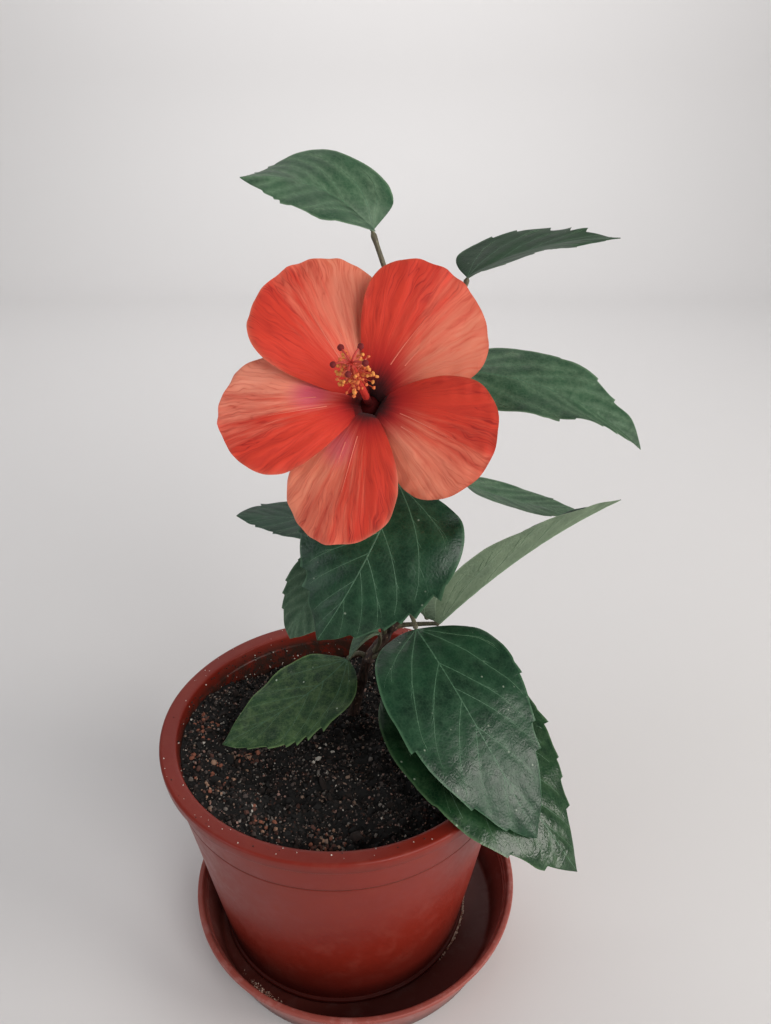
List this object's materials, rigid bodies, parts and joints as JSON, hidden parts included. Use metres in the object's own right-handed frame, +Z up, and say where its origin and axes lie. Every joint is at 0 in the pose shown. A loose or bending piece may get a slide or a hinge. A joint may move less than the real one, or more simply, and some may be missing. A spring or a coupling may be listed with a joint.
{
  "type": "potted hibiscus shrub",
  "caption": "Young hibiscus shrub in a plastic pot and saucer: a leaning woody stem, large ovate leaves on stalks and an open salmon and red bloom.",
  "frame": {"origin": "on the flat underside of the saucer, below the axis of the pot", "axes": "+Z up along the axis of the pot, -Y towards the side that the bloom faces, +X to the right as seen from there"},
  "size_m": [0.214, 0.1715, 0.3715],
  "materials": {
    "pot_plastic": "terracotta-coloured moulded polypropylene, satin",
    "saucer_plastic": "paler terracotta-coloured moulded polypropylene, satin, with dried water marks",
    "soil": "moist dark potting mix with pale granules",
    "bark": "young grey-brown bark",
    "stalk": "green-brown leaf stalk",
    "leaf": "glossy dark green leaf with pale veins",
    "petal": "soft matte petal, salmon on one half and orange-red on the other",
    "calyx": "matte green calyx and bud",
    "stamens": "crimson stamen column with yellow anthers"
  },
  "bodies": {
    "root": {"saucer": "saucer_plastic", "pot": "pot_plastic", "soil": "soil", "main_stem": "bark", "tip_bud": "calyx", "stalk_top_left": "stalk", "leaf_top_left": "leaf", "stalk_top_right": "stalk", "leaf_top_right": "leaf", "stalk_right": "stalk", "leaf_right": "leaf", "stalk_right_small": "stalk", "leaf_right_small": "leaf", "stalk_right_back": "stalk", "leaf_right_back": "leaf", "stalk_left_small": "stalk", "leaf_left_small": "leaf", "stalk_centre": "stalk", "leaf_centre": "leaf", "stalk_left_behind": "stalk", "leaf_left_behind": "leaf", "stalk_low_left": "stalk", "leaf_low_left": "leaf", "stalk_low_right": "stalk", "leaf_low_right": "leaf", "stalk_low_right_under": "stalk", "leaf_low_right_under": "leaf", "stalk_low_curl": "stalk", "leaf_low_curl": "leaf", "stalk_young": "stalk", "leaf_young": "leaf", "flower_stalk": "stalk", "calyx": "calyx", "petal_upper_left": "petal", "petal_upper_right": "petal", "petal_right": "petal", "petal_bottom": "petal", "petal_left": "petal", "stamen_column": "stamens"}
  },
  "joints": []
}
